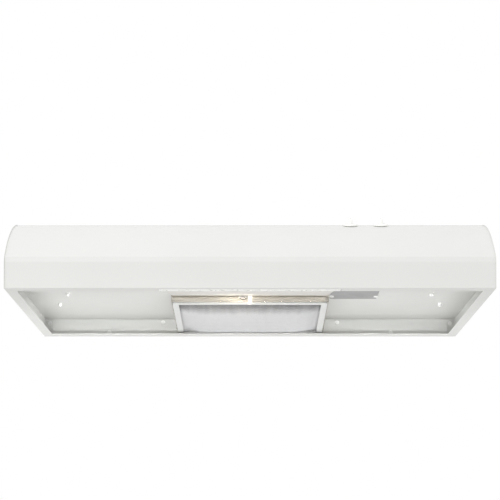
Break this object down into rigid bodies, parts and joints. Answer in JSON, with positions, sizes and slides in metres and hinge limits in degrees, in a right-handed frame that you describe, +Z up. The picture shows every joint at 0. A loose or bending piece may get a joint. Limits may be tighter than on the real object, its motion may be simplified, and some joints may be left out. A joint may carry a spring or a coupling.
{
  "type": "under cabinet range hood",
  "caption": "Wide shallow range hood with a curved front, recessed underside, tilted grease filter, lamp lens, fan and duct collar.",
  "frame": {"origin": "middle of the plan at the level of the bottom rim", "axes": "+X to the right seen from the front, the front faces -Y, +Z up"},
  "size_m": [0.759, 0.4444, 0.163],
  "materials": {
    "white_enamel": "gloss",
    "grey_enamel": "satin",
    "galvanised": "spangled",
    "bare_metal": "brushed",
    "black_rubber": "matte",
    "zinc": "plated",
    "bright_screw": "gloss",
    "motor_enamel": "satin",
    "bronze": "satin",
    "lamination": "satin",
    "copper": "varnished",
    "steel": "ground",
    "fan_aluminium": "satin",
    "damper_aluminium": "satin",
    "socket_plastic": "matte",
    "brass_cap": "satin",
    "bulb_glass": "frosted",
    "lens_plastic": "translucent white",
    "filter_aluminium": "satin",
    "mesh_aluminium": "expanded",
    "white_plastic": "moulded",
    "switch_plastic": "moulded",
    "orange_plastic": "moulded",
    "lead_black": "insulated wire",
    "lead_blue": "insulated wire",
    "lead_red": "insulated wire"
  },
  "bodies": {
    "hood": {"visor": "white_enamel", "left_side_panel": "white_enamel", "right_side_panel": "white_enamel", "top_panel": "white_enamel", "back_panel": "white_enamel", "left_ceiling_panel": "white_enamel", "right_ceiling_panel": "white_enamel", "left_ceiling_brace": "galvanised", "right_ceiling_brace": "galvanised", "blower_box": "bare_metal", "orifice_plate": "galvanised", "motor_bracket": "galvanised", "motor_grommets": "black_rubber", "motor_screws": "zinc", "motor_can": "motor_enamel", "motor_end_cap": "motor_enamel", "motor_bearings": "bronze", "stator_core": "lamination", "stator_coils": "copper", "duct_collar": "galvanised", "damper_stop": "galvanised", "lamp_housing": "white_enamel", "lamp_socket": "socket_plastic", "lamp_cap": "brass_cap", "lamp_bulb": "bulb_glass", "wiring_box": "galvanised", "wiring_cover": "grey_enamel", "fan_switch": "switch_plastic", "light_switch": "switch_plastic", "wire_caps": "orange_plastic", "lamp_leads": "lead_black", "motor_leads": "lead_blue", "switch_leads": "lead_red", "ceiling_screws": "bright_screw", "rear_screws": "bright_screw", "corner_screws": "bright_screw", "side_screws": "bright_screw", "collar_screws": "zinc", "cover_screws": "bright_screw", "bracket_screws": "zinc"},
    "fan": {"fan_shaft": "steel", "motor_rotor": "lamination", "fan_blade": "fan_aluminium", "fan_nut": "zinc"},
    "filter": {"filter_frame": "filter_aluminium", "filter_mesh": "mesh_aluminium", "filter_backing": "mesh_aluminium", "filter_pins": "steel", "filter_tab": "white_plastic"},
    "lens": {"lamp_lens": "lens_plastic", "lens_latch": "steel"},
    "damper": {"damper_flap": "damper_aluminium", "damper_rod": "steel"},
    "fan_control": {"fan_knob": "white_plastic"},
    "light_control": {"light_knob": "white_plastic"}
  },
  "joints": [
    {"name": "fan_spin", "type": "hinge", "parent": "hood", "child": "fan", "pos_m": [0, 0.104, 0.06], "axis": [0, 0, 1], "continuous": true},
    {"name": "filter_swing", "type": "hinge", "parent": "hood", "child": "filter", "pos_m": [0, 0.19138, 0.00998], "axis": [1, 0, 0], "range_deg": [0, 60]},
    {"name": "lens_swing", "type": "hinge", "parent": "hood", "child": "lens", "pos_m": [0, -0.2022, 0.0011], "axis": [-1, 0, 0], "range_deg": [0, 60]},
    {"name": "damper_lift", "type": "hinge", "parent": "hood", "child": "damper", "pos_m": [0, 0.111, 0.133], "axis": [1, 0, 0], "range_deg": [0, 75]},
    {"name": "fan_knob_turn", "type": "hinge", "parent": "hood", "child": "fan_control", "pos_m": [0.162, -0.13425, 0.11903], "axis": [0, 0.3286, -0.9445], "range_deg": [0, 180]},
    {"name": "light_knob_turn", "type": "hinge", "parent": "hood", "child": "light_control", "pos_m": [0.211, -0.13425, 0.11903], "axis": [0, 0.3286, -0.9445], "range_deg": [0, 90]}
  ]
}
